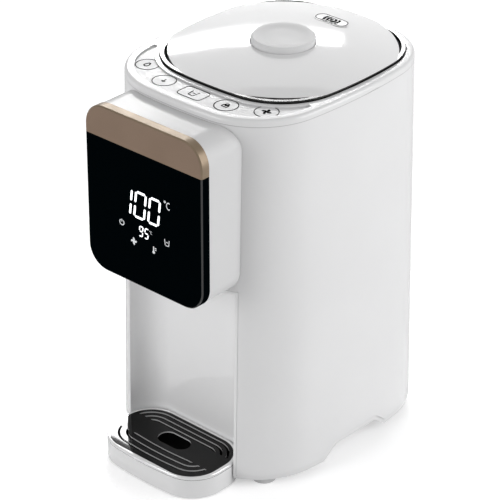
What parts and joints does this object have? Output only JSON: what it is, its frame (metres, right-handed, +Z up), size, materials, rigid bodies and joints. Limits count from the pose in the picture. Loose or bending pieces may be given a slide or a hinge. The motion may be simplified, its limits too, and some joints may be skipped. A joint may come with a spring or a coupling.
{
  "type": "electric thermo pot",
  "caption": "Free-standing electric water boiler and dispenser with a touch panel, display head over a cup bay, slotted drip tray and twist-lock lid.",
  "frame": {"origin": "on the floor under the middle of the whole outline, tray included", "axes": "+Z up, front towards -Y, +X to the pot's left as it faces out"},
  "size_m": [0.1992, 0.272, 0.345],
  "materials": {
    "white_gloss": "polished white ABS with faint moulding waviness",
    "white_satin": "fine satin white polypropylene",
    "liner_grey": "glossy pale grey liner",
    "panel_grey": "satin printed film",
    "gold_satin": "satin champagne gold",
    "black_glass": "polished black display window",
    "black_plastic": "moulded black plastic",
    "lamp_lens": "clear lamp lens",
    "mirror_steel": "mirror-polished stainless steel",
    "brushed_steel": "brushed stainless steel",
    "sheet_metal": "plain bright sheet",
    "cast_aluminium": "cast, slightly rough",
    "nylon": "natural nylon",
    "silicone": "translucent silicone",
    "foot_rubber": "matt grey rubber",
    "circuit_board": "green solder mask",
    "plated_steel": "zinc-plated steel",
    "pin_brass": "plated brass"
  },
  "bodies": {
    "pot_body": {"base_chassis": "white_satin", "bottom_cover": "white_satin", "rubber_foot_front_left": "foot_rubber", "rubber_foot_front_right": "foot_rubber", "rubber_foot_back_left": "foot_rubber", "rubber_foot_back_right": "foot_rubber", "outer_shell": "white_gloss", "bay_liner": "liner_grey", "head_housing": "white_gloss", "gold_band": "gold_satin", "display_glass": "black_glass", "display_carrier": "white_satin", "display_board": "circuit_board", "display_module": "black_plastic", "status_lamps": "lamp_lens", "spout_cover": "white_satin", "spout_nozzle": "nylon", "top_collar": "white_gloss", "touch_panel": "panel_grey", "touch_key_board": "circuit_board", "inner_pot": "brushed_steel", "pot_gasket": "silicone", "heat_shield": "sheet_metal", "heating_plate": "cast_aluminium", "temperature_sensor": "plated_steel", "thermal_cutout": "black_plastic", "pot_posts": "nylon", "pump_housing": "black_plastic", "pump_motor": "brushed_steel", "inlet_sleeve": "silicone", "riser_hose": "silicone", "fan_frame": "black_plastic", "power_board": "circuit_board", "power_inlet": "black_plastic", "inlet_pins": "pin_brass", "bottom_screws": "plated_steel", "spout_cover_screws": "plated_steel"},
    "lid": {"lid_cover": "white_gloss", "lid_band": "black_plastic", "lid_body": "white_satin", "lid_inner_plate": "brushed_steel", "lid_seal": "silicone", "vent_cap": "white_satin", "vent_tube": "nylon", "lid_screws": "plated_steel"},
    "knob": {"lid_knob": "white_gloss", "knob_shaft": "nylon"},
    "bolt_right": {"latch_bolt_right": "sheet_metal"},
    "bolt_left": {"latch_bolt_left": "sheet_metal"},
    "ball": {"spill_ball": "brushed_steel"},
    "tray": {"drip_tray": "white_gloss"},
    "plate": {"tray_plate": "mirror_steel"},
    "impeller": {"pump_impeller": "black_plastic", "motor_shaft": "brushed_steel"},
    "fan": {"fan_rotor": "black_plastic"}
  },
  "joints": [
    {"name": "lid_lift", "type": "slide", "parent": "pot_body", "child": "lid", "axis": [0, 0, 1], "range_m": [0, 0.1]},
    {"name": "knob_turn", "type": "hinge", "parent": "lid", "child": "knob", "pos_m": [0, 0.0347, 0.335], "axis": [0, 0, 1], "range_deg": [0, 60]},
    {"name": "bolt_right_slide", "type": "slide", "parent": "lid", "child": "bolt_right", "axis": [1, 0, 0], "range_m": [0, 0.004]},
    {"name": "bolt_left_slide", "type": "slide", "parent": "lid", "child": "bolt_left", "axis": [-1, 0, 0], "range_m": [0, 0.004]},
    {"name": "spill_ball_lift", "type": "slide", "parent": "lid", "child": "ball", "axis": [0, 0, 1], "range_m": [0, 0.005]},
    {"name": "tray_pull", "type": "slide", "parent": "pot_body", "child": "tray", "axis": [0, -1, 0], "range_m": [0, 0.075]},
    {"name": "plate_lift", "type": "slide", "parent": "tray", "child": "plate", "axis": [0, 0, 1], "range_m": [0, 0.03]},
    {"name": "impeller_spin", "type": "hinge", "parent": "pot_body", "child": "impeller", "pos_m": [0, -0.0285, 0.03], "axis": [0, 0, 1], "continuous": true},
    {"name": "fan_spin", "type": "hinge", "parent": "pot_body", "child": "fan", "pos_m": [0, 0.0495, 0.012], "axis": [0, 0, 1], "continuous": true}
  ],
  "couplings": [
    {"joint": "bolt_right_slide", "follows": "knob_turn", "m_per_rad": 0.0038193},
    {"joint": "bolt_left_slide", "follows": "knob_turn", "m_per_rad": 0.0038193}
  ]
}
